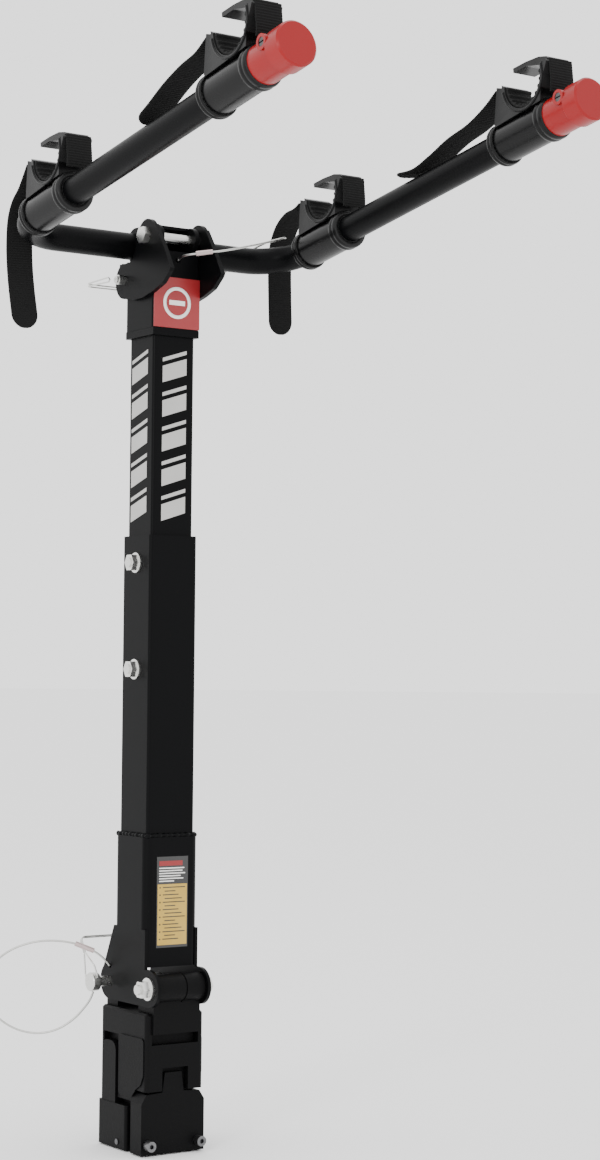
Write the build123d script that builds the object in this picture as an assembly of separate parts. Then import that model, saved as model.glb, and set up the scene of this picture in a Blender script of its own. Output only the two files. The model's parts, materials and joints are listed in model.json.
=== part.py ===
"""Hitch-mounted bike rack: a hanging mast on a hinged foot, with a folding two-armed yoke.

Frame: the origin is at the bottom of the foot, on the mast's axis. +Z is up, +X is the way the
arms point, and +Y is the rack's other side. All lengths are in millimetres.
"""
import os
from math import atan, cos, degrees, pi, radians, sin, tan

from build123d import *

# Mast: square tubes that slide inside each other, as (outer side, bottom, top)
WALL = 3.175
LOWER_TUBE = (57.15, 170.4, 290.0)
SLEEVE_TUBE = (50.8, 215.0, 570.7)
UPPER_TUBE = (44.45, 420.0, 795.0)
HEAD_TUBE = (50.8, 765.0, 838.0)
SLEEVE_BOLT_Z = (445.5, 545.3)

# Lower hinge and the two identical lock pins
HINGE = (36.5, 152.0)
LOWER_PIN = (-36.0, 152.0)
UPPER_PIN = (-20.0, 813.5)
BOLT_R = 4.76
FIT = 0.08
PIN_R = 4.7
PIN_GAP = 0.6
PIN_LENGTH = 88.0
PIN_HEAD = (8.75, 8.6)
BAIL_LENGTH = 93.0
BAIL_REACH = 47.0
WIRE_R = 0.75
LOWER_HEAD_Y = -46.0
UPPER_HEAD_Y = 48.0
LOWER_BAIL_DIRECTION = (-0.555, 0.832)
UPPER_BAIL_DIRECTION = (-1.0, 0.0)

# Foot
BASE_TOP = 129.0
BARREL_R = 13.0
NECK_HALF = 24.9

# Head, pivot and yoke
PLATE_T = 4.5
PIVOT = (19.0, 851.0)
CROSSBAR = (-20.0, 846.5)
TUBE_R = 12.7
TUBE_WALL = 2.0
ARM_Y = 148.5
BEND_R = 45.0
ARM_RISE = degrees(atan(0.166))
ARM_END = 466.0
CAP_START, CAP_END = 423.5, 469.0
CHEEK = (17.0, 21.5)

# Cradles along each arm, measured from the crossbar's axis
CRADLE_SHIFTS = {"outer": 0.0, "inner": -305.0}
U_CENTRE = (400.5, 40.0)
U_INNER, U_OUTER = 20.5, 27.5
LINER_T = 3.5
CRADLE_HALF = 14.5
HOOK = [(19.5, 6.4), (32.5, 7.6), (31, 10), (21, 13.4), (4, 15.2), (-13, 15.6), (-13, 11.6), (4, 11.2)]
STRAP_HALF = 12.7
STRAP_T = 2.2

# Where each strap's tail leaves its cradle, and its line from there, in the arm's own frame
TAIL_ROOT = (-38.0, 4.0)
TAILS = {
    "outer_left": [(345, 38), (322, 36), (295, 31), (268, 23), (243, 16.5)],
    "outer_right": [(345, 36), (320, 29), (290, 26), (262, 20), (235, 16.5), (205, 22)],
    "inner_left": [(46, 39), (28, 32), (6, 27), (-10, 16), (-19, -4), (-22, -26), (-21, -48),
                   (-18, -68), (-16, -86)],
    "inner_right": [(44, 43), (22, 45), (-2, 39), (-19, 24), (-26, 4), (-31, -22), (-35, -48), (-36, -60)],
}
TAIL_TURNS = {"outer_left": 0.0, "outer_right": 0.0, "inner_left": 11.0, "inner_right": 10.0}

# Lanyards: a 2 mm steel cable each
CABLE_R = 1.0
LOWER_CABLE = [(-35, -29.2, 166), (-36.5, -34, 173), (-41, -44, 181), (-48, -57, 187), (-58, -73, 190),
               (-70, -90, 189), (-83, -107, 182), (-93, -120, 170), (-99, -127, 153), (-99, -127, 135),
               (-93, -119, 118), (-82, -104, 106), (-69, -87, 102), (-57, -73, 106), (-48, -60, 116),
               (-42, -51, 128), (-38, -46.6, 137), (-36, -46, 142.6)]
UPPER_CABLE = [(26, 1.5, 829.9), (35, -1.5, 832), (46, 3.5, 833), (54.5, 18, 835), (56.5, 35, 838.5),
               (51, 59, 845), (43, 85, 852.5), (34, 108, 859.5), (22, 126, 865.5), (6, 132, 868),
               (-12, 125, 866), (-29, 117, 859), (-41, 107, 847), (-46, 94, 834), (-43, 80, 823),
               (-35, 68, 816), (-27, 59.5, 813.8), (-20.5, 53.4, 813.5)]
FERRULE_R = 2.4
FERRULES = {
    "lower": ((-40.5, -43, 180.3), (-49, -58.5, 187.2)),
    "upper": ((48.5, 6.5, 833.4), (55.2, 20.5, 835.6)),
}

os.makedirs("parts", exist_ok=True)


def save(name, shape):
    solids = shape.solids()
    shape = solids[0] if len(solids) == 1 else Compound(children=solids)
    export_step(shape, f"parts/{name}.step")


def block(x0, x1, y0, y1, z0, z1):
    return Pos((x0 + x1) / 2, (y0 + y1) / 2, (z0 + z1) / 2) * Box(x1 - x0, y1 - y0, z1 - z0)


def rod(x, z, r, y0, y1):
    """A round bar along Y."""
    return Pos(x, (y0 + y1) / 2, z) * Rot(90, 0, 0) * Cylinder(r, y1 - y0)


def hexagon(x, z, across, y0, y1):
    """A hexagonal bar along Y."""
    outline = RegularPolygon(across / 2, 6, major_radius=False)
    return Pos(x, y1, z) * Rot(90, 0, 0) * extrude(outline, y1 - y0)


def slab(face, y0, y1):
    """A face drawn in X and Z, thickened from y0 to y1."""
    return Pos(0, y1, 0) * extrude(Rot(90, 0, 0) * face, amount=y1 - y0)


def outline(points):
    return make_face(Polyline(*points, close=True))


def disc(x, z, r):
    return Pos(x, z) * Circle(r)


def square_tube(side, z0, z1, wall=WALL, corner=3.0):
    ring = RectangleRounded(side, side, corner) - RectangleRounded(side - 2 * wall, side - 2 * wall, 0.6)
    return Pos(0, 0, z0) * extrude(ring, z1 - z0)


def both(piece):
    """The piece and its mirror image on the other side of the rack."""
    return piece + mirror(piece, Plane.XZ)


def arc_radii(points, share=0.45):
    """The largest tangent arc that each corner's two runs leave room for."""
    found = []
    for a, b, c in zip(points, points[1:], points[2:]):
        first, second = Vector(*b) - Vector(*a), Vector(*c) - Vector(*b)
        half_turn = radians(first.get_angle(second)) / 2
        found.append(share * min(first.length, second.length) / tan(half_turn))
    return found


def cable(name, points):
    radii = arc_radii(points)
    path = FilletPolyline(*points, radius=radii)
    tube = sweep(Plane(origin=path @ 0, z_dir=path % 0) * Circle(CABLE_R), path)
    ratio = tube.volume / (pi * CABLE_R**2 * path.length)
    print(f"{name}: length {path.length:.1f}, tightest arc {min(radii):.1f}, volume ratio {ratio:.4f}")
    save(name, tube)


def along_arm(distance, rise, y):
    """A place in an arm's own frame: along it from the crossbar's axis, and square to it."""
    a = radians(ARM_RISE)
    x = CROSSBAR[0] + distance * cos(a) - rise * sin(a)
    return (x, y, CROSSBAR[1] + distance * sin(a) + rise * cos(a))


def arm_place(y):
    return Pos(CROSSBAR[0], y, CROSSBAR[1]) * Rot(0, -ARM_RISE, 0)


def foot_plate_face():
    """One side of the lower channel's forked end: two round lobes and a sloping rear edge."""
    face = make_hull([*disc(*LOWER_PIN, 17).edges(), *disc(*HINGE, 17).edges()])
    half = LOWER_TUBE[0] / 2
    web = outline([(-48, 163), (-half, 205), (half, 205), (half, 160), (-30, 150)])
    return face + web - disc(*HINGE, BOLT_R + 0.06) - disc(*LOWER_PIN, PIN_R + FIT)


def mast():
    side, z0, z1 = LOWER_TUBE
    inner, outer = side / 2 - WALL, side / 2
    tube = square_tube(side, z0, z1, corner=7)
    tube -= block(-40, -inner + 0.01, -inner, inner, z0 - 1, 208)
    tube -= block(-40, 40, -40, -inner, z0 - 1, 205) + block(-40, 40, inner, 40, z0 - 1, 205)
    plate = slab(foot_plate_face(), inner, outer)
    left = mirror(plate, Plane.XZ) - rod(-35, 166, 2.2, -30, -20)
    save("mast_lower", tube + plate + left)

    ring = RectangleRounded(side - 1, side - 1, 6) - Rectangle(SLEEVE_TUBE[0], SLEEVE_TUBE[0])
    save("sleeve_weld", Pos(0, 0, z1) * extrude(ring, 4.2, taper=20))

    bolt_holes = [rod(0, z, BOLT_R, -40, 40) for z in SLEEVE_BOLT_Z]
    save("mast_sleeve", square_tube(*SLEEVE_TUBE) - bolt_holes)
    upper = square_tube(*UPPER_TUBE) - [rod(0, z, BOLT_R, -40, 40) for z in SLEEVE_BOLT_Z]
    save("mast_upper", upper)
    half = SLEEVE_TUBE[0] / 2
    bolts, nuts, washers = Part(), Part(), Part()
    for z in SLEEVE_BOLT_Z:
        bolts += rod(0, z, BOLT_R, -half - 9.5, half + 1.6) + hexagon(0, z, 14.3, half + 1.6, half + 7.6)
        nuts += hexagon(0, z, 14.3, -half - 8.2, -half - 1.6) - rod(0, z, BOLT_R, -40, 0)
        for y in (-half - 1.6, half):
            washers += rod(0, z, 9.5, y, y + 1.6) - rod(0, z, BOLT_R, -40, 40)
    save("sleeve_bolts", bolts)
    save("sleeve_nuts", nuts)
    save("sleeve_washers", washers)
    save("mast_label", block(outer, outer + 0.3, -16.6, 17, 188, 272))


def head():
    side, z0, z1 = HEAD_TUBE
    half = side / 2
    sleeve = square_tube(side, z0, z1)
    cut = outline([(-30, 800), (-8, 800), (-8, 826), (2, 839), (-30, 839)])
    sleeve -= slab(cut, -30, 30)
    sleeve -= Pos(half, 1, 829.8) * Rot(0, 90, 0) * Cylinder(2.6, 12)
    save("head_sleeve", sleeve)
    ring = Rectangle(side - 0.6, side - 0.6) - Rectangle(UPPER_TUBE[0], UPPER_TUBE[0])
    save("head_weld", Pos(0, 0, z0 - 7) * extrude(ring, 7))

    face = outline([(5.5, 859), (34, 860), (48, 840), (63, 815), (61, 812), (48.6, 802.5), (31, 797),
                    (13.6, 793.4), (-4, 792.8), (-25, 797.2), (-34, 803), (-30, 830), (-14, 829), (-6, 832)])
    face += disc(*PIVOT, 15.5) + disc(*UPPER_PIN, 17.5)
    face -= disc(*CROSSBAR, 17)
    face -= disc(*PIVOT, BOLT_R + 0.06)
    face -= disc(*UPPER_PIN, PIN_R + FIT)
    plate = slab(face, half, half + PLATE_T)
    save("head_plate_right", plate)
    save("head_plate_left", mirror(plate, Plane.XZ))

    edge = half + PLATE_T
    save("pivot_bolt", rod(*PIVOT, BOLT_R, -edge, edge + 11) + hexagon(*PIVOT, 14.3, -edge - 6.2, -edge))
    save("pivot_nut", hexagon(*PIVOT, 14.3, edge, edge + 8) - rod(*PIVOT, BOLT_R, 0, 60))
    save("head_badge", block(half, half + 0.8, -half + 0.5, half - 0.5, 765.5, 813))


def hinge_hardware():
    outer = LOWER_TUBE[0] / 2
    bolt = rod(*HINGE, BOLT_R, -outer - 13, outer + 1.6) + hexagon(*HINGE, 14.3, outer + 1.6, outer + 7.8)
    save("hinge_bolt", bolt)
    save("hinge_nut", hexagon(*HINGE, 14.3, -outer - 10, -outer - 2) - rod(*HINGE, BOLT_R, -50, 0))
    washers = Part()
    for y in (-outer - 2, outer):
        width = 2 if y < 0 else 1.6
        washers += rod(*HINGE, 10.4, y, y + width) - rod(*HINGE, BOLT_R, -50, 50)
    save("hinge_washers", washers)


def lock_pin(name, place, head_y, way, direction):
    """A round pin with a disc head, and the wire bail that hooks over its far end.

    way is +1 where the pin points along +Y from its head, and -1 where it points along -Y.
    """
    x, z = place
    radius, thick = PIN_HEAD
    shank_end = head_y + way * PIN_LENGTH
    head_face = head_y + way * thick / 2
    shank = rod(x, z, PIN_R, *sorted((head_face, shank_end - way * 2)))
    tip = rod(x, z, PIN_R - 1.2, *sorted((shank_end - way * 2, shank_end)))
    disc_head = rod(x, z, radius, *sorted((head_y - way * thick / 2, head_face)))
    save(f"{name}_pin", Compound(children=[shank + tip, fillet(disc_head.edges(), 1.2)]))

    dx, dz = direction
    side = Vector(-dz, 0, dx)

    def at(out, far, apart):
        spot = Vector(x + dx * out, head_y + way * far, z + dz * out) + side * apart
        return tuple(spot)

    flare = radius + 1.2
    points = [at(0, 0, flare), at(12, 0, flare), at(30, 0, 1.4), at(BAIL_REACH, 0, 1.2),
              at(BAIL_REACH, BAIL_LENGTH, 1.2), at(5, BAIL_LENGTH, 2.2), at(2.6, BAIL_LENGTH, 0)]
    other = [at(2.6, BAIL_LENGTH, 0), at(5, BAIL_LENGTH, -2.2), at(BAIL_REACH, BAIL_LENGTH, -1.2),
             at(BAIL_REACH, 0, -1.2), at(30, 0, -1.4), at(12, 0, -flare), at(0, 0, -flare)]
    bail = Part()
    for route, radii in ((points, [6, 4, 5, 5, 0.9]), (other, [0.9, 5, 5, 4, 6])):
        path = FilletPolyline(*route, radius=[min(r, b) for r, b in zip(radii, arc_radii(route))])
        bail += sweep(Plane(origin=path @ 0, z_dir=path % 0) * Circle(WIRE_R), path)
    for sign in (1, -1):
        stub = Plane(origin=at(0, 0, sign * (radius + 0.3)), z_dir=side * sign) * Cylinder(
            WIRE_R, 1.8, align=(Align.CENTER, Align.CENTER, Align.MIN))
        bail += stub
    save(f"{name}_bail", bail)


def foot():
    barrel = rod(*HINGE, BARREL_R, -NECK_HALF, NECK_HALF)
    neck = block(12, HINGE[0] + 3, -NECK_HALF, NECK_HALF, 110, 141)
    core = block(-44, 30, -24, 24, 4, 122) + barrel + neck
    core -= rod(*HINGE, BOLT_R + 1.5, -30, 30)
    core -= rod(*HINGE, BARREL_R + 1, 4.3, 5.7) - rod(*HINGE, BARREL_R - 1, -30, 30)
    save("base_core", core)

    pin_x, pin_z = LOWER_PIN
    room = PIN_R + PIN_GAP
    floor_z = pin_z - room
    walls = [block(-46, pin_x - room, -NECK_HALF, NECK_HALF, floor_z, pin_z),
             block(pin_x + room, -26, -NECK_HALF, NECK_HALF, floor_z, pin_z),
             block(-46, -26, -NECK_HALF, NECK_HALF, 122, floor_z)]
    save("pin_saddle", Compound(children=walls))
    bush = rod(*HINGE, BOLT_R + 1.5, -NECK_HALF, NECK_HALF) - rod(*HINGE, BOLT_R + FIT, -30, 30)
    save("hinge_bush", bush)

    shell = block(-47, 37, -30.7, 30.7, 41, BASE_TOP)
    shell = fillet(shell.edges().filter_by(Axis.Z), 4)
    shell = chamfer(shell.faces().sort_by(Axis.Z)[-1].edges(), 2)
    shell -= block(-44, 30, -24, 24, 30, 122)
    shell -= block(-46, -26, -NECK_HALF, NECK_HALF, 122, 140)
    shell -= block(12, HINGE[0] + 3, -NECK_HALF, NECK_HALF, 100, 140)
    shell -= both(block(-41, -14, 24.5, 32, 30, 105))
    shell -= block(14, 40, -40, 40, 30, 57.6) + block(-50, 15, -40, 40, 30, 46.6)
    shell -= block(30, 38, -13.2, 14.4, 57.6, 78.6)
    save("base_housing", shell)
    panel = outline([(-12, 50), (12, 50), (20, 58.5), (28, 63), (33, 72), (33, 106), (-12, 106)])
    save("side_panels", both(slab(fillet(panel.vertices(), 4), 30.7, 31.7)))

    rear = block(-47, 4.7, -33, 33, 0, 41)
    rear = fillet(rear.edges().filter_by(Axis.Z), 3)
    rear -= block(-44, 30, -24, 24, 4, 60)
    bar = block(-41, -16, 24.5, 32.5, 40.5, 98)
    bar = fillet(bar.edges().filter_by(Axis.Y).group_by(Axis.Z)[-1], 9)
    save("rear_shoe", rear + both(bar) - rod(-10.8, 6, 2.7, -40, 40))
    save("shoe_pin", both(rod(-10.8, 6, 2.7, 24, 33.8)))

    tab = outline([(-33.8, 0), (33.8, 0), (33.8, 47), (28.5, 55), (11.5, 56), (9, 74), (-9, 74),
                   (-11.5, 56), (-28.5, 55), (-33.8, 47)])
    front = Pos(15, 0, 0) * extrude(Plane.YZ * tab, 19.5)
    front -= block(10, 30, -24, 24, 4, 80)
    holes = both(Pos(34, 27, 9) * Rot(0, 90, 0) * Cylinder(2.5, 30))
    save("front_shoe", front - holes)
    screw = Pos(38.5, 27, 9) * Rot(0, 90, 0) * Cylinder(4.8, 8)
    screw -= Pos(40, 27, 9) * Rot(0, 90, 0) * extrude(RegularPolygon(2.2, 6), 3)
    screw += Pos(30, 27, 9) * Rot(0, 90, 0) * Cylinder(2.5, 12)
    save("shoe_screws", both(screw))


def yoke():
    corners = [along_arm(ARM_END, 0, -ARM_Y), (CROSSBAR[0], -ARM_Y, CROSSBAR[1]),
               (CROSSBAR[0], ARM_Y, CROSSBAR[1]), along_arm(ARM_END, 0, ARM_Y)]
    path = FilletPolyline(*corners, radius=BEND_R)
    ring = Circle(TUBE_R) - Circle(TUBE_R - TUBE_WALL)
    save("arm_tube", sweep(Plane(origin=path @ 0, z_dir=path % 0) * ring, path))

    px, pz = PIVOT
    face = make_hull([*disc(px, pz, 11.5).edges(), *disc(-16, 848.5, 15.5).edges()])
    foot_shape = outline([(-29, 838), (-20, 826), (-13, 820), (-6, 821), (8, 842), (-10, 852)])
    face = face + (foot_shape & disc(px, pz, 48.6))
    face -= disc(*CROSSBAR, TUBE_R)
    face -= disc(px, pz, BOLT_R + FIT)
    cheeks = both(slab(face, *CHEEK))
    web = outline([(-18, 861), (-16, 864.2), (17.5, 862.6), (17.5, 859.8)])
    cheeks += slab(web, -CHEEK[0], CHEEK[0]) - rod(*CROSSBAR, TUBE_R, -30, 30)
    save("yoke_bracket", cheeks)

    for side, y in (("left", -ARM_Y), ("right", ARM_Y)):
        place = arm_place(y)
        body = Pos((CAP_START + CAP_END) / 2, 0, 0) * Rot(0, 90, 0) * Cylinder(16.75, CAP_END - CAP_START)
        lip = Pos((450 + CAP_END) / 2, 0, 0) * Rot(0, 90, 0) * Cylinder(18.75, CAP_END - 450)
        body += chamfer(lip.edges(), 1.5)
        body += Pos(447, -13.5, 6.6) * Rot(90, 0, 0) * Cylinder(6.5, 10)
        body -= Pos(CAP_START + 21, 0, 0) * Rot(0, 90, 0) * Cylinder(TUBE_R, 43.2)
        body -= Pos(447, -17, 6.6) * Rot(90, 0, 0) * Cylinder(3.9, 4)
        save(f"arm_cap_{side}", place * body)
    heads = Part()
    for y in (-ARM_Y, ARM_Y):
        screw = Pos(447, -16.5, 6.6) * Rot(90, 0, 0) * Cylinder(3.9, 3)
        screw -= Pos(447, -17.2, 6.6) * Box(7, 2, 1.1)
        heads += arm_place(y) * screw
    save("cap_screws", heads)


def cradle_face(shift):
    """The cradle's side outline: a U that opens up and back, with a flat wall at its front."""
    cx, cz = U_CENTRE
    cx += shift
    ring = disc(cx, cz, U_OUTER)
    for shape in (
        [(-42, -28), (20, -26), (24, -10), (-30, 2)],
        [(20, -4), (27.5, -4), (33, 5), (32, 7), (27, 5)],
        [(-42, -26), (-34, 5.5), (-17.5, -1.4), (-18, -20)],
    ):
        ring += outline([(cx + x, cz + z) for x, z in shape])
    mouth = [(-U_INNER, 0), (-40, 15), (-40, 60), (20, 60), (27, 7), (U_INNER, 0)]
    return ring - disc(cx, cz, U_INNER + LINER_T) - outline([(cx + x, cz + z) for x, z in mouth])


def cradles():
    for row, shift in CRADLE_SHIFTS.items():
        cx, cz = U_CENTRE[0] + shift, U_CENTRE[1]
        half_ring = disc(cx, cz, U_INNER + LINER_T) - disc(cx, cz, U_INNER)
        upper = outline([(cx - 40, cz + 2), (cx - 40, cz + 50), (cx + 40, cz + 50), (cx + 40, cz + 2)])
        liner_face = half_ring - upper
        for side, y in (("left", -ARM_Y), ("right", ARM_Y)):
            place = arm_place(y)
            body = slab(cradle_face(shift), -CRADLE_HALF, CRADLE_HALF)
            for start, end, r in ((-50.5, 22.5, 16.6), (-50.5, -43, 18.0), (12, 22.5, 18.0)):
                body += Pos(cx + (start + end) / 2, 0, 0) * Rot(0, 90, 0) * Cylinder(r, end - start)
            body -= slab(disc(cx, cz, U_INNER + LINER_T), -30, 30)
            body -= Pos(cx - 14, 0, 0) * Rot(0, 90, 0) * Cylinder(TUBE_R, 120)
            save(f"cradle_{row}_{side}", place * body)
            save(f"liner_{row}_{side}", place * slab(liner_face, -CRADLE_HALF + 1, CRADLE_HALF - 1))
            hook = outline([(cx + x, cz + z) for x, z in HOOK])
            save(f"hook_{row}_{side}", place * slab(hook, -12, 12))
            strap(f"strap_{row}_{side}", place, cx, cz, f"{row}_{side}")


def webbing(middle_line):
    """A band of webbing seen edge on: a smooth line given the webbing's thickness."""
    steps = 40
    centre = [middle_line @ (i / steps) for i in range(steps + 1)]
    tangents = [middle_line % (i / steps) for i in range(steps + 1)]
    across = [Vector(-t.Y, t.X, 0) * (STRAP_T / 2) for t in tangents]
    upper = [p + a for p, a in zip(centre, across)]
    lower = [p - a for p, a in zip(centre, across)]
    ends = [Line(upper[0], lower[0]), Line(upper[-1], lower[-1])]
    return slab(make_face([Spline(*upper), Spline(*lower), *ends]), -STRAP_HALF, STRAP_HALF)


def strap(name, place, cx, cz, tail):
    """Webbing flat on the cradle's front, and its loose tail behind, turned a little to one side."""
    front = Spline((cx + 34.6, cz + 7), (cx + 34.3, cz - 4), (cx + 33.6, cz - 15), (cx + 32, cz - 21.8))
    turn = TAIL_TURNS[tail]
    route = Spline(*[(cx + TAIL_ROOT[0], cz + TAIL_ROOT[1])], *TAILS[tail])
    root = Pos(cx + TAIL_ROOT[0], 0, 0)
    tail_solid = root * Rot(0, 0, -turn) * Pos(-cx - TAIL_ROOT[0], 0, 0) * webbing(route)
    save(name, place * (webbing(front) + tail_solid))
    print(f"{name}: webbing shown {front.length + route.length:.0f}")


if __name__ == "__main__":
    mast()
    head()
    hinge_hardware()
    foot()
    lock_pin("lower", LOWER_PIN, LOWER_HEAD_Y, 1, LOWER_BAIL_DIRECTION)
    lock_pin("upper", UPPER_PIN, UPPER_HEAD_Y, -1, UPPER_BAIL_DIRECTION)
    yoke()
    cradles()
    cable("lower_lanyard", LOWER_CABLE)
    cable("upper_lanyard", UPPER_CABLE)
    for name, (start, end) in FERRULES.items():
        run = Line(start, end)
        save(f"{name}_ferrule", sweep(Plane(origin=start, z_dir=run % 0) * Circle(FERRULE_R), run))
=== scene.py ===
"""Finishes and soft parts of a hitch-mounted bike rack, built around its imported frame."""
import json

import bpy
import bmesh
import numpy as np
from mathutils import Matrix, Vector


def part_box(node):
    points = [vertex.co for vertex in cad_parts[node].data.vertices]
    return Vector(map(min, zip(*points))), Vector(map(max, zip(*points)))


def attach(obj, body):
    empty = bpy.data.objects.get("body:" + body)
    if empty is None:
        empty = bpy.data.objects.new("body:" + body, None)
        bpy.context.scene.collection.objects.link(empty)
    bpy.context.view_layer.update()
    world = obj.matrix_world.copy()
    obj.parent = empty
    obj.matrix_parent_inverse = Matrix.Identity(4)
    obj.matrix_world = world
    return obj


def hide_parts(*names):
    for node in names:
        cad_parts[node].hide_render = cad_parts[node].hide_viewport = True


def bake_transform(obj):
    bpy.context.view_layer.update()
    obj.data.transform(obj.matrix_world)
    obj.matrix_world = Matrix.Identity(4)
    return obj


bl_info = {
    "name": "Hitch bike rack",
    "version": (1, 0, 0),
    "blender": (4, 5, 0),
    "location": "3D View > Sidebar > Rack",
    "description": "Builds the webbing, cables, print and finishes of a hitch-mounted bike rack",
    "category": "Add Mesh",
}

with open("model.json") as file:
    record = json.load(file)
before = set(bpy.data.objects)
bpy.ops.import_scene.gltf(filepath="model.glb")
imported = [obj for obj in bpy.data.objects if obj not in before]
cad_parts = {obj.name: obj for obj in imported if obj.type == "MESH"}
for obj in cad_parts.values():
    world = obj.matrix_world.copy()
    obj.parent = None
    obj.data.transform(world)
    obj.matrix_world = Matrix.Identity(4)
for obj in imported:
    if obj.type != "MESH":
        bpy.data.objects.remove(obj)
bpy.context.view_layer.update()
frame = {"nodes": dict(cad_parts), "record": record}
MM = 0.001

# Places on the rack, in metres, as the frame has them
SIDES = {"left": -0.1485, "right": 0.1485}
ROWS = {"outer": 0.4005, "inner": 0.0955}
CROSSBAR = np.array([-0.020, 0.0, 0.8465])
ARM_SLOPE = 0.166
SADDLE_RISE = 0.040
LOWER_CABLE = [(-35, -29.2, 166), (-36.5, -34, 173), (-41, -44, 181), (-48, -57, 187), (-58, -73, 190),
               (-70, -90, 189), (-83, -107, 182), (-93, -120, 170), (-99, -127, 153), (-99, -127, 135),
               (-93, -119, 118), (-82, -104, 106), (-69, -87, 102), (-57, -73, 106), (-48, -60, 116),
               (-42, -51, 128), (-38, -46.6, 137), (-36, -46, 142.6)]
UPPER_CABLE = [(26, 1.5, 829.9), (35, -1.5, 832), (46, 3.5, 833), (54.5, 18, 835), (56.5, 35, 838.5),
               (51, 59, 845), (43, 85, 852.5), (34, 108, 859.5), (22, 126, 865.5), (6, 132, 868),
               (-12, 125, 866), (-29, 117, 859), (-41, 107, 847), (-46, 94, 834), (-43, 80, 823),
               (-35, 68, 816), (-27, 59.5, 813.8), (-20.5, 53.4, 813.5)]
TAIL_ROOT = (-38.0, 4.0)
TAILS = {
    "outer_left": [(345, 38), (322, 36), (295, 31), (268, 23), (243, 16.5)],
    "outer_right": [(345, 36), (320, 29), (290, 26), (262, 20), (235, 16.5), (205, 22)],
    "inner_left": [(46, 39), (28, 32), (6, 27), (-10, 16), (-19, -4), (-22, -26), (-21, -48),
                   (-18, -68), (-16, -86)],
    "inner_right": [(44, 43), (22, 45), (-2, 39), (-19, 24), (-26, 4), (-31, -22), (-35, -48), (-36, -60)],
}
TAIL_TURNS = {"outer_left": 0.0, "outer_right": 0.0, "inner_left": 11.0, "inner_right": 10.0}


# ---------------------------------------------------------------- settings

class RackStrapSettings(bpy.types.PropertyGroup):
    width: bpy.props.FloatProperty(
        name="Width", description="Width of the webbing", default=0.0252, unit="LENGTH")
    thickness: bpy.props.FloatProperty(
        name="Thickness", description="Thickness of the webbing", default=0.0020, unit="LENGTH")
    rib_pitch: bpy.props.FloatProperty(
        name="Rib pitch", description="Distance between the webbing's ribs", default=0.0023, unit="LENGTH")
    color: bpy.props.FloatVectorProperty(
        name="Color", description="Colour of the webbing", default=(0.006, 0.006, 0.006), subtype="COLOR")


class RackCableSettings(bpy.types.PropertyGroup):
    radius: bpy.props.FloatProperty(
        name="Radius", description="Radius of the lanyard cable", default=0.0010, unit="LENGTH")
    color: bpy.props.FloatVectorProperty(
        name="Color", description="Colour of the cable's wires", default=(0.50, 0.50, 0.48),
        subtype="COLOR")


class RackFinishSettings(bpy.types.PropertyGroup):
    black: bpy.props.FloatVectorProperty(
        name="Black", description="Colour of the powder coat", default=(0.0022, 0.0023, 0.0026),
        subtype="COLOR")
    red: bpy.props.FloatVectorProperty(
        name="Red", description="Colour of the end caps", default=(0.24, 0.0010, 0.0022),
        subtype="COLOR")
    silver: bpy.props.FloatVectorProperty(
        name="Silver", description="Colour of the printed marks", default=(0.36, 0.355, 0.34),
        subtype="COLOR")
    yellow: bpy.props.FloatVectorProperty(
        name="Yellow", description="Colour of the label's lower field", default=(0.42, 0.25, 0.008),
        subtype="COLOR")


def settings(kind):
    return getattr(bpy.context.scene, f"rack_{kind}")


# ---------------------------------------------------------------- shader groups

def new_group(name, inputs, outputs):
    """An empty shader group with float inputs (name: default) and named outputs (name: socket type)."""
    tree = bpy.data.node_groups.new(name, "ShaderNodeTree")
    for label, default in inputs.items():
        kind = "NodeSocketColor" if isinstance(default, tuple) else "NodeSocketFloat"
        socket = tree.interface.new_socket(name=label, in_out="INPUT", socket_type=kind)
        socket.default_value = (*default, 1.0) if isinstance(default, tuple) else default
    for label, kind in outputs.items():
        tree.interface.new_socket(name=label, in_out="OUTPUT", socket_type=kind)
    return tree, tree.nodes.new("NodeGroupInput"), tree.nodes.new("NodeGroupOutput")


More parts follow.
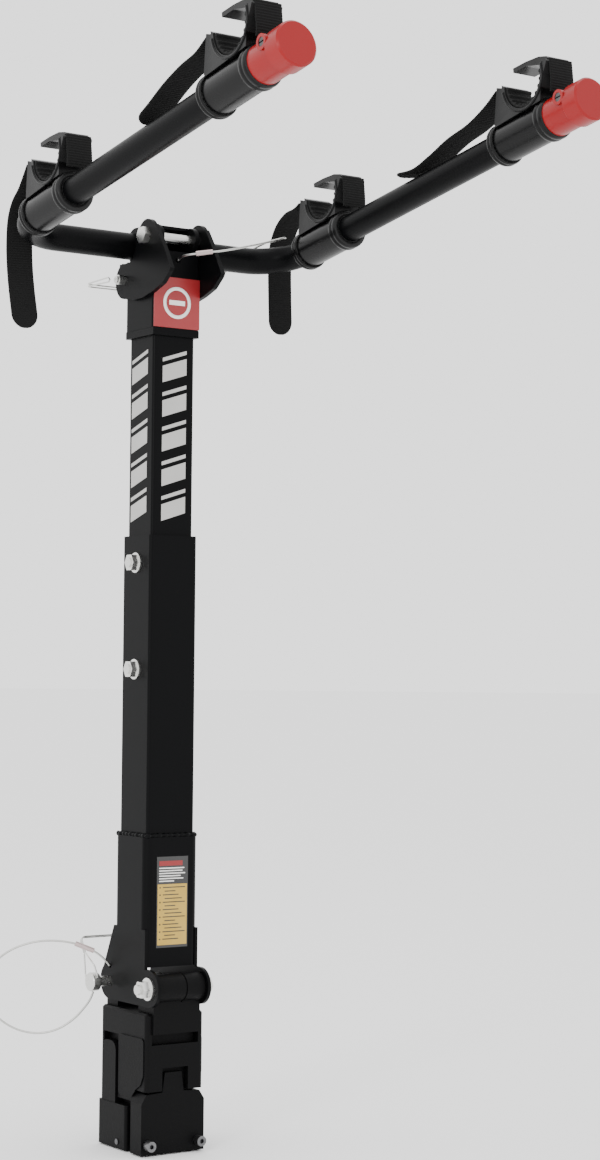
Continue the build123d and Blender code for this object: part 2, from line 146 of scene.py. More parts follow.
def coat_group():
    """Sprayed coat: a fine grain height, slightly uneven roughness, and bare wear on sharp edges."""
    tree, given, out = new_group(
        "Sprayed coat",
        {"Color": (0.01, 0.01, 0.01), "Worn color": (0.3, 0.3, 0.3), "Grain size": 900.0, "Roughness": 0.4,
         "Spread": 0.12, "Wear": 0.4},
        {"Color": "NodeSocketColor", "Roughness": "NodeSocketFloat", "Height": "NodeSocketFloat"})
    add, link = tree.nodes.new, tree.links.new
    place = add("ShaderNodeTexCoord")
    grain = add("ShaderNodeTexNoise")
    link(place.outputs["Object"], grain.inputs["Vector"])
    link(given.outputs["Grain size"], grain.inputs["Scale"])
    grain.inputs["Detail"].default_value = 3.0
    cloud = add("ShaderNodeTexNoise")
    link(place.outputs["Object"], cloud.inputs["Vector"])
    cloud.inputs["Scale"].default_value = 38.0
    cloud.inputs["Detail"].default_value = 4.0
    rough = add("ShaderNodeMath")
    rough.operation = "MULTIPLY_ADD"
    link(cloud.outputs["Fac"], rough.inputs[0])
    link(given.outputs["Spread"], rough.inputs[1])
    link(given.outputs["Roughness"], rough.inputs[2])
    shape = add("ShaderNodeNewGeometry")
    edge = add("ShaderNodeMapRange")
    link(shape.outputs["Pointiness"], edge.inputs["Value"])
    edge.inputs["From Min"].default_value = 0.53
    edge.inputs["From Max"].default_value = 0.62
    patch = add("ShaderNodeMath")
    patch.operation = "MULTIPLY"
    link(edge.outputs["Result"], patch.inputs[0])
    link(cloud.outputs["Fac"], patch.inputs[1])
    amount = add("ShaderNodeMath")
    amount.operation = "MULTIPLY"
    amount.use_clamp = True
    link(patch.outputs[0], amount.inputs[0])
    link(given.outputs["Wear"], amount.inputs[1])
    mix = add("ShaderNodeMix")
    mix.data_type = "RGBA"
    link(amount.outputs[0], mix.inputs["Factor"])
    link(given.outputs["Color"], mix.inputs[6])
    link(given.outputs["Worn color"], mix.inputs[7])
    link(mix.outputs[2], out.inputs["Color"])
    link(rough.outputs[0], out.inputs["Roughness"])
    link(grain.outputs["Fac"], out.inputs["Height"])
    return tree


def weave_group():
    """Ribbed webbing: cross ribs along V and a fine twill across U, as a height, and as painted shade in
    the rib valleys and painted highlight on the rib crests, multiplied into the colour.
    """
    tree, given, out = new_group(
        "Ribbed weave", {"Color": (0.01, 0.01, 0.01), "Ribs": 80.0, "Threads": 26.0},
        {"Color": "NodeSocketColor", "Height": "NodeSocketFloat"})
    add, link = tree.nodes.new, tree.links.new
    coords = add("ShaderNodeUVMap")
    coords.uv_map = "UVMap"
    split = add("ShaderNodeSeparateXYZ")
    link(coords.outputs["UV"], split.inputs[0])

    def wave(source, count):
        turn = add("ShaderNodeMath")
        turn.operation = "MULTIPLY"
        link(source, turn.inputs[0])
        link(count, turn.inputs[1])
        sine = add("ShaderNodeMath")
        sine.operation = "SINE"
        link(turn.outputs[0], sine.inputs[0])
        return sine.outputs[0]

    across = wave(split.outputs["X"], given.outputs["Threads"])
    along = wave(split.outputs["Y"], given.outputs["Ribs"])
    both = add("ShaderNodeMath")
    both.operation = "MULTIPLY"
    link(across, both.inputs[0])
    link(along, both.inputs[1])
    height = add("ShaderNodeMath")
    height.operation = "MULTIPLY_ADD"
    link(both.outputs[0], height.inputs[0])
    height.inputs[1].default_value = 0.25
    height.inputs[2].default_value = 0.5
    fuzz = add("ShaderNodeTexNoise")
    place = add("ShaderNodeTexCoord")
    link(place.outputs["Object"], fuzz.inputs["Vector"])
    fuzz.inputs["Scale"].default_value = 1500.0
    # Painted shade and highlight: the colour is scaled by the rib height, from 0.35 times in the valleys to
    # 1.9 times on the crests.
    painted_rib_shading = add("ShaderNodeMapRange")
    link(height.outputs[0], painted_rib_shading.inputs["Value"])
    painted_rib_shading.inputs["To Min"].default_value = 0.35
    painted_rib_shading.inputs["To Max"].default_value = 1.9
    mix = add("ShaderNodeMix")
    mix.data_type = "RGBA"
    mix.blend_type = "MULTIPLY"
    mix.inputs["Factor"].default_value = 1.0
    link(given.outputs["Color"], mix.inputs[6])
    link(painted_rib_shading.outputs["Result"], mix.inputs[7])
    total = add("ShaderNodeMath")
    total.operation = "MULTIPLY_ADD"
    link(fuzz.outputs["Fac"], total.inputs[0])
    total.inputs[1].default_value = 0.3
    link(height.outputs[0], total.inputs[2])
    link(mix.outputs[2], out.inputs["Color"])
    link(total.outputs[0], out.inputs["Height"])
    return tree


def plain_material(name, metallic=0.0, coat=0.0, coat_rough=0.1, sheen=0.0, specular=0.5):
    material = bpy.data.materials.new(name)
    material.use_nodes = True
    shader = material.node_tree.nodes["Principled BSDF"]
    shader.inputs["Metallic"].default_value = metallic
    shader.inputs["Coat Weight"].default_value = coat
    shader.inputs["Coat Roughness"].default_value = coat_rough
    shader.inputs["Sheen Weight"].default_value = sheen
    shader.inputs["Specular IOR Level"].default_value = specular
    return material, material.node_tree, shader


def bump(tree, shader, height, strength, distance):
    node = tree.nodes.new("ShaderNodeBump")
    node.inputs["Strength"].default_value = strength
    node.inputs["Distance"].default_value = distance
    tree.links.new(height, node.inputs["Height"])
    tree.links.new(node.outputs["Normal"], shader.inputs["Normal"])


def coated(name, color, worn, grain, roughness, spread, wear, height, **more):
    """A material that places the sprayed coat group with its own values."""
    material, tree, shader = plain_material(name, **more)
    node = tree.nodes.new("ShaderNodeGroup")
    node.node_tree = bpy.data.node_groups["Sprayed coat"]
    node.inputs["Color"].default_value = (*color, 1.0)
    node.inputs["Worn color"].default_value = (*worn, 1.0)
    node.inputs["Grain size"].default_value = grain
    node.inputs["Roughness"].default_value = roughness
    node.inputs["Spread"].default_value = spread
    node.inputs["Wear"].default_value = wear
    tree.links.new(node.outputs["Color"], shader.inputs["Base Color"])
    tree.links.new(node.outputs["Roughness"], shader.inputs["Roughness"])
    bump(tree, shader, node.outputs["Height"], 0.5, height)
    return material


def webbing_material():
    strap = settings("straps")
    material, tree, shader = plain_material("Black webbing", sheen=0.02, specular=0.1)
    node = tree.nodes.new("ShaderNodeGroup")
    node.node_tree = bpy.data.node_groups["Ribbed weave"]
    node.inputs["Color"].default_value = (*strap.color, 1.0)
    node.inputs["Ribs"].default_value = 2 * np.pi / (strap.rib_pitch / 2)
    node.inputs["Threads"].default_value = 2 * np.pi / 0.0016
    tree.links.new(node.outputs["Color"], shader.inputs["Base Color"])
    shader.inputs["Roughness"].default_value = 0.78
    bump(tree, shader, node.outputs["Height"], 0.6, 0.0003)
    return material


BARE_STEEL = (0.20, 0.20, 0.20)
FINISHES = {
    "black_powder_coat": dict(
        name="Satin black coat", worn=BARE_STEEL,
        grain=1400.0, roughness=0.36, spread=0.02, wear=0.0, height=0.00010, specular=0.06),
    "cast_black": dict(
        name="Textured black coat", color=(0.0028, 0.0028, 0.0030), worn=BARE_STEEL,
        grain=650.0, roughness=0.46, spread=0.04, wear=0.0, height=0.00035, specular=0.07),
    "cradle_plastic": dict(
        name="Black cradle plastic", color=(0.003, 0.003, 0.0032), worn=(0.05, 0.05, 0.05),
        grain=500.0, roughness=0.24, spread=0.08, wear=0.5, height=0.00012, specular=0.16),
    "liner_rubber": dict(
        name="Black saddle rubber", color=(0.006, 0.006, 0.006), worn=(0.03, 0.03, 0.03),
        grain=1800.0, roughness=0.6, spread=0.2, wear=0.3, height=0.00020, specular=0.15),
    "red_cap": dict(
        name="Red cap plastic", worn=(0.5, 0.05, 0.05),
        grain=700.0, roughness=0.26, spread=0.12, wear=0.3, height=0.00006, specular=0.3),
    "badge_red": dict(
        name="Red badge film", color=(0.24, 0.0016, 0.0045), worn=(0.4, 0.1, 0.1),
        grain=1500.0, roughness=0.3, spread=0.1, wear=0.2, height=0.00003, coat=0.1),
    "label_film": dict(
        name="Black label film", color=(0.010, 0.010, 0.010), worn=(0.1, 0.1, 0.1),
        grain=1500.0, roughness=0.34, spread=0.1, wear=0.2, height=0.00002, coat=0.2),
    "label_yellow": dict(
        name="Yellow label film", worn=(0.9, 0.8, 0.4),
        grain=1500.0, roughness=0.36, spread=0.1, wear=0.2, height=0.00002),
    "label_red": dict(
        name="Red label print", color=(0.22, 0.004, 0.006), worn=(0.4, 0.1, 0.1),
        grain=1500.0, roughness=0.4, spread=0.1, wear=0.2, height=0.00002),
    "silver_print": dict(
        name="Silver print", worn=(0.8, 0.8, 0.8),
        grain=2600.0, roughness=0.42, spread=0.15, wear=0.2, height=0.00003),
    "white_print": dict(
        name="White print", color=(0.78, 0.77, 0.74), worn=(0.9, 0.9, 0.9),
        grain=2600.0, roughness=0.45, spread=0.1, wear=0.2, height=0.00002),
    "zinc_plate": dict(
        name="Bright zinc", color=(0.66, 0.66, 0.64), worn=(0.85, 0.85, 0.83),
        grain=420.0, roughness=0.16, spread=0.24, wear=0.6, height=0.00006, metallic=1.0),
    "dark_steel": dict(
        name="Black zinc", color=(0.06, 0.06, 0.065), worn=(0.4, 0.4, 0.4),
        grain=900.0, roughness=0.3, spread=0.2, wear=0.6, height=0.00005, metallic=1.0),
    "black_screw": dict(
        name="Black oxide", color=(0.02, 0.02, 0.02), worn=(0.3, 0.3, 0.3),
        grain=900.0, roughness=0.28, spread=0.2, wear=0.6, height=0.00005, metallic=0.6),
    "crimp_metal": dict(
        name="Crimped sleeve", color=(0.42, 0.33, 0.32), worn=(0.7, 0.6, 0.6),
        grain=800.0, roughness=0.3, spread=0.2, wear=0.7, height=0.00010, metallic=1.0),
    "steel_cable": dict(
        name="Cable wires", worn=(0.7, 0.7, 0.7),
        grain=900.0, roughness=0.24, spread=0.2, wear=0.4, height=0.00005, metallic=1.0),
    "bush_plastic": dict(
        name="Bush", color=(0.03, 0.03, 0.03), worn=(0.1, 0.1, 0.1),
        grain=900.0, roughness=0.5, spread=0.1, wear=0.2, height=0.00010),
}


def make_materials():
    """Every finish of the rack; four colours and the cable's come from the settings."""
    coat_group()
    weave_group()
    finish = settings("finish")
    chosen = {"black_powder_coat": finish.black, "red_cap": finish.red, "label_yellow": finish.yellow,
              "silver_print": finish.silver, "steel_cable": settings("cables").color}
    made = {}
    for slot, values in FINISHES.items():
        if slot in chosen:
            values = {**values, "color": tuple(chosen[slot])}
        made[slot] = coated(**values)
    made["webbing"] = webbing_material()
    return made


MATERIALS = {}


# ---------------------------------------------------------------- surfaces

def grid_faces(rows, columns, wrap_rows=False, wrap_columns=False):
    """Quads between neighbouring points of a grid, closed round either way if asked."""
    r = np.arange(rows if wrap_rows else rows - 1)
    c = np.arange(columns if wrap_columns else columns - 1)
    i, j = np.meshgrid(r, c, indexing="ij")
    k, m = (i + 1) % rows, (j + 1) % columns
    return np.stack([i * columns + j, k * columns + j, k * columns + m, i * columns + m], -1).reshape(-1, 4)


def finish_piece(name, points, faces, slot, body, smooth=True, uvs=None):
    """A mesh from whole arrays, with outward faces, that rides on a body and takes a slot's material."""
    mesh = bpy.data.meshes.new(name)
    places = np.asarray(points, float).reshape(-1, 3).tolist()
    mesh.from_pydata(places, [], [list(map(int, face)) for face in faces])
    if uvs is not None:
        layer = mesh.uv_layers.new(name="UVMap")
        corners = np.empty(len(mesh.loops), int)
        mesh.loops.foreach_get("vertex_index", corners)
        layer.data.foreach_set("uv", np.asarray(uvs, np.float32).reshape(-1, 2)[corners].ravel())
    edit = bmesh.new()
    edit.from_mesh(mesh)
    bmesh.ops.recalc_face_normals(edit, faces=edit.faces)
    edit.to_mesh(mesh)
    edit.free()
    mesh.polygons.foreach_set("use_smooth", np.full(len(mesh.polygons), smooth))
    piece = bpy.data.objects.new(name, mesh)
    bpy.context.collection.objects.link(piece)
    piece.data.materials.append(MATERIALS[slot])
    if body:
        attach(piece, body)
    return piece


def smooth_line(points, step):
    """A Catmull-Rom curve through the points, in equal steps of length."""
    p = np.asarray(points, float)
    p = np.vstack([2 * p[0] - p[1], p, 2 * p[-1] - p[-2]])
    t = np.linspace(0, 1, 24, endpoint=False)[:, None]
    spans = [0.5 * (2 * b + (c - a) * t
                    + (2 * a - 5 * b + 4 * c - d) * t**2
                    + (3 * b - a - 3 * c + d) * t**3)
             for a, b, c, d in zip(p, p[1:], p[2:], p[3:])]
    line = np.vstack(spans + [p[-2:-1]])
    run = np.concatenate([[0], np.cumsum(np.linalg.norm(np.diff(line, axis=0), axis=1))])
    even = np.linspace(0, run[-1], max(3, int(run[-1] / step)))
    return np.stack([np.interp(even, run, line[:, i]) for i in range(line.shape[1])], 1)


def along_arm(places, side):
    """Points given along an arm, across it and square to it, put in the rack's frame."""
    d, y, n = np.moveaxis(np.asarray(places, float), -1, 0)
    c = 1 / np.sqrt(1 + ARM_SLOPE**2)
    s = ARM_SLOPE * c
    return np.stack([CROSSBAR[0] + d * c - n * s, SIDES[side] + y, CROSSBAR[2] + d * s + n * c], -1)


def tube(line, radius, sides, bulge=None):
    """A round tube: each point is the line's, plus the radius turned round its tangent.

    bulge, if given, is a function of the place along the line and the angle that scales the radius.
    """
    t = np.gradient(line, axis=0)
    t /= np.linalg.norm(t, axis=1)[:, None]
    spread = line - line.mean(axis=0)
    flat = np.linalg.svd(spread, full_matrices=False)[2][2]
    a = np.cross(t, flat)
    a /= np.linalg.norm(a, axis=1)[:, None]
    b = np.cross(t, a)
    angle = np.linspace(0, 2 * np.pi, sides, endpoint=False)
    run = np.concatenate([[0], np.cumsum(np.linalg.norm(np.diff(line, axis=0), axis=1))])
    scale = np.ones((len(line), sides)) if bulge is None else bulge(run[:, None], angle[None, :])
    ring = np.cos(angle)[None, :, None] * a[:, None, :] + np.sin(angle)[None, :, None] * b[:, None, :]
    points = line[:, None, :] + radius * scale[..., None] * ring
    faces = grid_faces(len(line), sides, wrap_columns=True).tolist()
    faces += [list(range(sides)), list(range((len(line) - 1) * sides, len(line) * sides))]
    return points, faces


def strand_bulge(run, angle):
    """Seven outer wires laid in a helix: the radius dips where two wires meet."""
    lay = 0.013
    return 1.0 - 0.13 * (0.5 - 0.5 * np.abs(np.cos(3.5 * (angle + 2 * np.pi * run / lay)))) * 2


def ribbon(line, across, width, thickness, pitch, round_end=True):
    """Webbing: a rounded flat section carried along a line, with its faces rippled by the cross ribs.

    The half width narrows in a half circle at the last end, where the webbing is cut round.
    """
    t = np.gradient(line, axis=0)
    t /= np.linalg.norm(t, axis=1)[:, None]
    out = np.cross(t, across)
    out /= np.linalg.norm(out, axis=1)[:, None]
    run = np.concatenate([[0], np.cumsum(np.linalg.norm(np.diff(line, axis=0), axis=1))])
    left = np.clip((run[-1] - run) / (width * 0.55), 0.0, 1.0)
    half = width / 2 * (np.sqrt(1 - (1 - left) ** 2 * 0.96) if round_end else 1.0)
    sides = 28
    u = np.linspace(0, 2 * np.pi, sides, endpoint=False)
    flat_x = np.sign(np.cos(u)) * np.abs(np.cos(u)) ** 0.55
    flat_y = np.sign(np.sin(u)) * np.abs(np.sin(u)) ** 0.35
    ripple = 1 + 0.26 * np.sin(2 * np.pi * run / pitch)
    x = np.broadcast_to(half, run.shape)[:, None] * flat_x[None, :]
    y = thickness / 2 * flat_y[None, :] * ripple[:, None]
    points = line[:, None, :] + x[..., None] * across[None, None, :] + y[..., None] * out[:, None, :]
    faces = grid_faces(len(line), sides, wrap_columns=True).tolist()
    faces += [list(range(sides)), list(range((len(line) - 1) * sides, len(line) * sides))]
    uvs = np.stack([x, np.broadcast_to(run[:, None], x.shape)], -1)
    return points.reshape(-1, 3), faces, uvs.reshape(-1, 2)


def merged(parts):
    """Several (points, faces, uvs) sets as one."""
    points, faces, uvs, start = [], [], [], 0
    for p, f, u in parts:
        points.append(p)
        faces += [[i + start for i in face] for face in f]
        uvs.append(u)
        start += len(p)
    return np.vstack(points), faces, np.vstack(uvs)


def revolved(profile, steps=96):
    """A profile of (along, radius) pairs turned round the arm's line; no end faces are added, so the ends
    close only where the profile closes on itself.
    """
    angle = np.linspace(0, 2 * np.pi, steps, endpoint=False)
    d, r = np.asarray(profile, float).T
    points = np.stack([np.broadcast_to(d[:, None], (len(d), steps)), r[:, None] * np.cos(angle)[None],
                       r[:, None] * np.sin(angle)[None]], -1)
    faces = grid_faces(len(d), steps, wrap_columns=True).tolist()
    return points, faces


def plate(name, corners, normal, thick, slot, body):
    """A thin printed shape: a flat outline given a small thickness along its normal."""
    c = np.asarray(corners, float)
    n = len(c)
    points = np.vstack([c, c + np.asarray(normal, float) * thick])
    faces = [list(range(n)), list(range(n, 2 * n))]
    faces += [[i, (i + 1) % n, n + (i + 1) % n, n + i] for i in range(n)]
    return finish_piece(name, points, faces, slot, body, smooth=False)


# ---------------------------------------------------------------- operators

class RACK_OT_finishes(bpy.types.Operator):
    """Give every carried-over part its material"""
    bl_idname = "rack.finishes"
    bl_label = "Finishes"

    def execute(self, context):
        MATERIALS.update(make_materials())
        slots = {s["node"]: s["material_slot"] for s in frame["record"]["subparts"]}
        for node, part in frame["nodes"].items():
            part.data.materials.clear()
            part.data.materials.append(MATERIALS[slots[node]])
        return {"FINISHED"}


class RACK_OT_cables(bpy.types.Operator):
    """Lay the two lanyard cables from the mast to the lock pins"""
    bl_idname = "rack.cables"
    bl_label = "Lanyards"

    def execute(self, context):
        for name, route, pin in (("lower", LOWER_CABLE, "lower_pin"), ("upper", UPPER_CABLE, "upper_pin")):
            line = self.centre_line(np.array(route) * MM)
            radius = settings("cables").radius
            points, faces = tube(line, radius, 28, strand_bulge)
            piece = finish_piece(f"{name}_cable", points, faces, "steel_cable", None)
            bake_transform(piece)
            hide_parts(f"{name}_lanyard")
        return {"FINISHED"}

    def centre_line(self, route):
        """The smooth line that a NURBS spline of order 3 makes from the route's points."""
        curve = bpy.data.curves.new("route", "CURVE")
        curve.dimensions = "3D"
        spline = curve.splines.new("NURBS")
        spline.points.add(len(route) - 1)
        spline.points.foreach_set("co", np.hstack([route, np.ones((len(route), 1))]).ravel())
        spline.order_u = 3
        spline.use_endpoint_u = True
        spline.resolution_u = 12
        holder = bpy.data.objects.new("route", curve)
        mesh = bpy.data.meshes.new_from_object(holder)
        line = np.empty(len(mesh.vertices) * 3)
        mesh.vertices.foreach_get("co", line)
        bpy.data.objects.remove(holder)
        bpy.data.meshes.remove(mesh)
        bpy.data.curves.remove(curve)
        line = line.reshape(-1, 3)
        run = np.concatenate([[0], np.cumsum(np.linalg.norm(np.diff(line, axis=0), axis=1))])
        even = np.linspace(0, run[-1], int(run[-1] / 0.0008))
        return np.stack([np.interp(even, run, line[:, i]) for i in range(3)], 1)


class RACK_OT_straps(bpy.types.Operator):
    """Weave the four cradle straps"""
    bl_idname = "rack.straps"
    bl_label = "Straps"

    def execute(self, context):
        strap = settings("straps")
        for row, cx in ROWS.items():
            for side in SIDES:
                key = f"{row}_{side}"
                centre = np.array([cx, SADDLE_RISE]) / MM
                front = np.array([(34.6, 7), (34.3, -4), (33.6, -15), (32, -21.8)]) + centre
                tail = np.array([centre + TAIL_ROOT, *TAILS[key]])
                parts = [self.band(front, 0.0, front[0], side, strap, False),
                         self.band(tail, TAIL_TURNS[key], tail[0], side, strap, True)]
                points, faces, uvs = merged(parts)
                piece = finish_piece(f"webbing_{key}", points, faces, "webbing", "yoke", uvs=uvs)
                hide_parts(f"strap_{key}")
        return {"FINISHED"}

    def band(self, route, turn, root, side, strap, round_end):
        """One run of webbing, drawn beside the arm and turned about its root."""
        line = smooth_line(route * MM, strap.rib_pitch / 6)
        a = np.radians(-turn)
        d = line[:, 0] - root[0] * MM
        places = np.stack([root[0] * MM + d * np.cos(a), d * np.sin(a), line[:, 1]], -1)
        slant = np.array([-np.sin(a), np.cos(a), 0.0])
        line3 = along_arm(places, side)
        c = 1 / np.sqrt(1 + ARM_SLOPE**2)
        across = np.array([slant[0] * c, slant[1], slant[0] * ARM_SLOPE * c])
        return ribbon(line3, across, strap.width, strap.thickness, strap.rib_pitch, round_end)


class RACK_OT_liners(bpy.types.Operator):
    """Mould the toothed saddle liners and the ribs round each cradle"""
    bl_idname = "rack.liners"
    bl_label = "Saddle liners"

    def execute(self, context):
        for row, cx in ROWS.items():
            for side in SIDES:
                points, faces = self.toothed(cx)
                places = along_arm(points, side)
                piece = finish_piece(f"saddle_{row}_{side}", places, faces, "liner_rubber", "yoke")
                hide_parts(f"liner_{row}_{side}")
                self.rim(cx, row, side)
                self.collars(cx, row, side)
        return {"FINISHED"}

    def toothed(self, cx):
        """A half ring whose inner radius follows a row of rounded teeth.

        Round the ring runs an angle; across it runs a closed section from the inner to the outer wall.
        """
        turn = np.linspace(np.radians(176), np.radians(365), 260)
        teeth = 0.0011 * np.clip(np.cos(turn * 22), -0.25, 1.0)
        inner = 0.0212 - teeth
        outer = np.full_like(inner, 0.0239)
        half = 0.0134
        radius = np.stack([inner + 0.0004, inner, inner, inner + 0.0004, outer, outer], 1)
        across = np.array([-half, -half + 0.0006, half - 0.0006, half, half, -half])
        points = np.stack([cx + radius * np.cos(turn)[:, None], np.broadcast_to(across, radius.shape),
                           SADDLE_RISE + radius * np.sin(turn)[:, None]], -1)
        faces = grid_faces(len(turn), 6, wrap_columns=True).tolist()
        last = (len(turn) - 1) * 6
        faces += [list(range(6)), list(range(last, last + 6))]
        return points, faces

    def rim(self, cx, row, side):
        """A raised bead that follows the saddle's outer edge on both faces of the cradle."""
        turn = np.linspace(np.radians(184), np.radians(372), 120)
        for sign, label in ((-1, "near"), (1, "far")):
            places = np.stack([cx + 0.0262 * np.cos(turn), np.full_like(turn, sign * 0.0146),
                               SADDLE_RISE + 0.0262 * np.sin(turn)], -1)
            line = along_arm(places, side)
            points, faces = tube(line, 0.00115, 12)
            finish_piece(f"rim_{row}_{side}_{label}", points, faces, "cradle_plastic", "yoke")

    def collars(self, cx, row, side):
        """Ribs round the cradle's sleeve, each a smooth wave on its radius."""
        spans = ((-0.0508, -0.043, 0.0188, "rear"), (0.0115, 0.0226, 0.0186, "front"))
        for start, end, radius, label in spans:
            s = np.linspace(0, 1, 40)
            wave = radius - 0.0006 + 0.0006 * np.abs(np.sin(2 * np.pi * s)) * (1 - (2 * s - 1) ** 8)
            wall = np.stack([cx + start + (end - start) * s, wave], 1)
            bore = np.array([[cx + end, 0.0132], [cx + start, 0.0132], [cx + start, radius - 0.0006]])
            points, faces = revolved(np.vstack([wall, bore]))
            places = along_arm(points, side)
            finish_piece(f"collar_{row}_{side}_{label}", places, faces, "cradle_plastic", "yoke")


class RACK_OT_prints(bpy.types.Operator):
    """Print the plain marks on the mast, the badge and the label"""
    bl_idname = "rack.prints"
    bl_label = "Prints"

    def execute(self, context):
        self.mast_marks()
        self.badge()
        self.label()
        return {"FINISHED"}

    def mast_marks(self):
        """Slanted bars up the two outer faces of the upper mast."""
        wall = 0.02223
        for face in ("front", "side"):
            low, high = (-0.0125, 0.0135) if face == "front" else (-0.0170, 0.0115)
            normal = (1, 0, 0) if face == "front" else (0, -1, 0)

            def put(u, z):
                return (wall, u, z) if face == "front" else (u, -wall, z)

            for i in range(5):
                z = 0.584 + i * 0.0325
                shapes = [[(low, z), (high, z + 0.0085), (high, z + 0.0240), (low, z + 0.0155)],
                          [(low, z + 0.0195), (high, z + 0.0280), (high, z + 0.0315), (low, z + 0.0230)]]
                for k, shape in enumerate(shapes):
                    plate(f"mark_{face}_{i}_{k}", [put(u, v) for u, v in shape], normal, 0.00018,
                          "silver_print", "mast")

    def badge(self):
        """A plain ring and bar on the red badge."""
        low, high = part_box("head_badge")
        x = high[0]
        mid_z = (low[2] + high[2]) / 2
        turn = np.linspace(0, 2 * np.pi, 72, endpoint=False)
        ring = []
        for radius in (0.0150, 0.0118):
            ring.append(np.stack([np.full_like(turn, x), radius * np.cos(turn),
                                  mid_z + radius * np.sin(turn)], -1))
        out = [r + np.array([0.0003, 0, 0]) for r in ring]
        points = np.stack([ring[0], ring[1], out[1], out[0]], 0)
        faces = grid_faces(4, len(turn), wrap_rows=True, wrap_columns=True)
        finish_piece("badge_ring", points, faces, "white_print", "mast")
        bar = [(x, -0.0085, mid_z - 0.0022), (x, 0.0085, mid_z - 0.0022), (x, 0.0085, mid_z + 0.0022),
               (x, -0.0085, mid_z + 0.0022)]
        plate("badge_bar", bar, (1, 0, 0), 0.0003, "white_print", "mast")

    def label(self):
        """A red heading bar, rows of white bars, and a yellow field with dark bars."""
        low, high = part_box("mast_label")
        x, left, right = high[0], low[1], high[1]

        def bar(name, y0, y1, z0, z1, lift, slot):
            corners = [(x, y0, z0), (x, y1, z0), (x, y1, z1), (x, y0, z1)]
            plate(name, corners, (1, 0, 0), lift, slot, "mast")

        bar("label_heading", left + 0.0025, right - 0.0060, 0.2635, 0.2680, 0.00012, "label_red")
        widths = (0.027, 0.025, 0.028, 0.023, 0.026, 0.016)
        for i, width in enumerate(widths):
            z = 0.2618 - i * 0.0024
            start = left + 0.0025
            bar(f"label_row_{i}", start, start + width, z - 0.0010, z, 0.00012, "white_print")
        bar("label_field", left + 0.0010, right - 0.0010, 0.1905, 0.2465, 0.00010, "label_yellow")
        for i in range(15):
            z = 0.2440 - i * 0.0034
            dot = i % 2 == 0
            start = left + (0.0045 if dot else 0.0065)
            end = right - 0.003 - 0.0035 * ((i * 7) % 4)
            bar(f"label_line_{i}", start + 0.002, end, z - 0.0009, z, 0.00022, "label_film")
            if dot:
                bar(f"label_dot_{i}", left + 0.0028, left + 0.0042, z - 0.0012, z + 0.0001, 0.00022,
                    "label_film")


class RACK_OT_weld(bpy.types.Operator):
    """Lay the rippled weld bead round the top of the lower channel"""
    bl_idname = "rack.weld"
    bl_label = "Weld bead"

    def execute(self, context):
        low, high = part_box("sleeve_weld")
        half = 0.0263
        s = np.linspace(0, 4, 560, endpoint=False)
        corner = np.floor(s)
        t = (s - corner) * 2 - 1
        edge = np.array([[1, 0], [0, 1], [-1, 0], [0, -1]])[corner.astype(int)]
        along = np.stack([-edge[:, 1], edge[:, 0]], 1)
        flat = half * (edge + along * t[:, None])
        line = np.column_stack([flat, np.full(len(s), low[2] + 0.0012)])
        ripple = 1 + 0.16 * np.sin(s * 55) + 0.10 * np.sin(s * 31 + 1.0)
        turn = np.linspace(0, 2 * np.pi, 14, endpoint=False)
        out = np.column_stack([edge, np.zeros(len(s))])
        reach = 0.0021 * ripple[:, None]
        points = (line[:, None, :] + (reach * np.cos(turn))[..., None] * out[:, None, :]
                  + (reach * np.sin(turn))[..., None] * np.array([0, 0, 1.0]))
        faces = grid_faces(len(s), 14, wrap_rows=True, wrap_columns=True)
        piece = finish_piece("weld_bead", points, faces, "black_powder_coat", "mast")
        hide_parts("sleeve_weld")
        return {"FINISHED"}


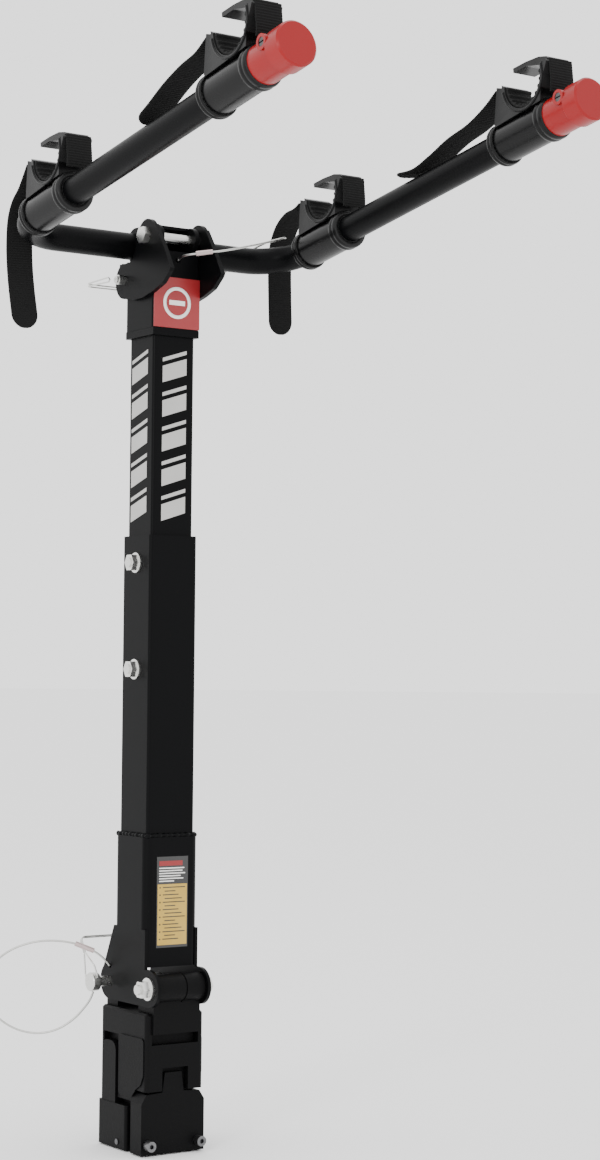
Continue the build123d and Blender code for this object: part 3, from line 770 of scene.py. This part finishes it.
class RACK_OT_stage(bpy.types.Operator):
    """Set the pale floor, the soft lights and the camera"""
    bl_idname = "rack.stage"
    bl_label = "Stage"

    def execute(self, context):
        self.floor()
        self.lights()
        self.camera(context.scene)
        return {"FINISHED"}

    def floor(self):
        """A wide round floor of pale paper: rings of growing radius turned round the mast's axis."""
        turn = np.linspace(0, 2 * np.pi, 96, endpoint=False)
        radius = np.geomspace(0.01, 60.0, 40)
        material = bpy.data.materials.new("Pale paper")
        material.use_nodes = True
        shader = material.node_tree.nodes["Principled BSDF"]
        shader.inputs["Base Color"].default_value = (0.94, 0.94, 0.94, 1)
        shader.inputs["Roughness"].default_value = 0.95
        shader.inputs["Specular IOR Level"].default_value = 0.0
        points = np.stack([radius[:, None] * np.cos(turn), radius[:, None] * np.sin(turn),
                           np.full((len(radius), len(turn)), -0.0015)], -1)
        faces = grid_faces(len(radius), len(turn), wrap_columns=True)
        mesh = bpy.data.meshes.new("floor")
        mesh.from_pydata(points.reshape(-1, 3).tolist(), [], faces.tolist())
        mesh.materials.append(material)
        piece = bpy.data.objects.new("floor", mesh)
        bpy.context.collection.objects.link(piece)

    def lights(self):
        """An even pale room, a key that draws the front corners' bright lines, and a top light."""
        world = bpy.data.worlds.new("Room") if bpy.context.scene.world is None else bpy.context.scene.world
        bpy.context.scene.world = world
        world.use_nodes = True
        world.node_tree.nodes["Background"].inputs["Color"].default_value = (1.0, 1.0, 1.0, 1)
        world.node_tree.nodes["Background"].inputs["Strength"].default_value = 1.9
        boxes = (("key", (1.5, -2.4, 1.3), 0.5, 22.0), ("side", (-1.2, -2.6, 1.9), 0.5, 2.0),
                 ("front", (2.9, 0.2, 1.9), 0.5, 2.0), ("top", (0.1, 0.2, 3.0), 1.0, 8.0))
        aim = Vector((0.05, 0.0, 0.55))
        for name, place, size, power in boxes:
            lamp = bpy.data.lights.new(name, "AREA")
            lamp.shape = "SQUARE"
            lamp.size = size
            lamp.energy = power
            holder = bpy.data.objects.new(name, lamp)
            bpy.context.collection.objects.link(holder)
            holder.location = place
            holder.rotation_euler = (aim - Vector(place)).to_track_quat("-Z", "Y").to_euler()

    def camera(self, scene):
        """A long lens, a little below level, turned towards the rack's left front."""
        turn, tip, roll = np.radians([55.70, 2.237, 0.512])
        back = Vector((np.sin(turn) * np.cos(tip), -np.cos(turn) * np.cos(tip), -np.sin(tip)))
        right = (-back).cross(Vector((0, 0, 1))).normalized()
        up = right.cross(-back).normalized()
        across = right * np.cos(roll) + up * np.sin(roll)
        above = up * np.cos(roll) - right * np.sin(roll)
        data = bpy.data.cameras.new("camera")
        data.sensor_fit = "HORIZONTAL"
        data.sensor_width = 36.0
        data.lens = 143.72
        holder = bpy.data.objects.new("camera", data)
        bpy.context.collection.objects.link(holder)
        axes = Matrix((across, above, back)).transposed().to_4x4()
        axes.translation = Vector((1.94003, -1.16305, 0.44278))
        holder.matrix_world = axes
        scene.camera = holder


class RACK_PT_panel(bpy.types.Panel):
    """The rack's settings and steps"""
    bl_idname = "RACK_PT_panel"
    bl_label = "Hitch bike rack"
    bl_space_type = "VIEW_3D"
    bl_region_type = "UI"
    bl_category = "Rack"

    def draw(self, context):
        for kind in ("straps", "cables", "finish"):
            group = settings(kind)
            for name in type(group).__annotations__:
                self.layout.prop(group, name)
        for step in STEPS:
            self.layout.operator(f"rack.{step}")


STEPS = ("finishes", "cables", "straps", "liners", "prints", "weld", "stage")
CLASSES = (RackStrapSettings, RackCableSettings, RackFinishSettings, RACK_OT_finishes, RACK_OT_cables,
           RACK_OT_straps, RACK_OT_liners, RACK_OT_prints, RACK_OT_weld, RACK_OT_stage, RACK_PT_panel)
GROUPS = {
    "rack_straps": RackStrapSettings,
    "rack_cables": RackCableSettings,
    "rack_finish": RackFinishSettings,
}


def register():
    for item in CLASSES:
        bpy.utils.register_class(item)
    for name, kind in GROUPS.items():
        setattr(bpy.types.Scene, name, bpy.props.PointerProperty(type=kind))


def unregister():
    for name in GROUPS:
        delattr(bpy.types.Scene, name)
    for item in reversed(CLASSES):
        bpy.utils.unregister_class(item)


def main():
    register()
    for step in STEPS:
        getattr(bpy.ops.rack, step)()


if __name__ == "__main__":
    main()
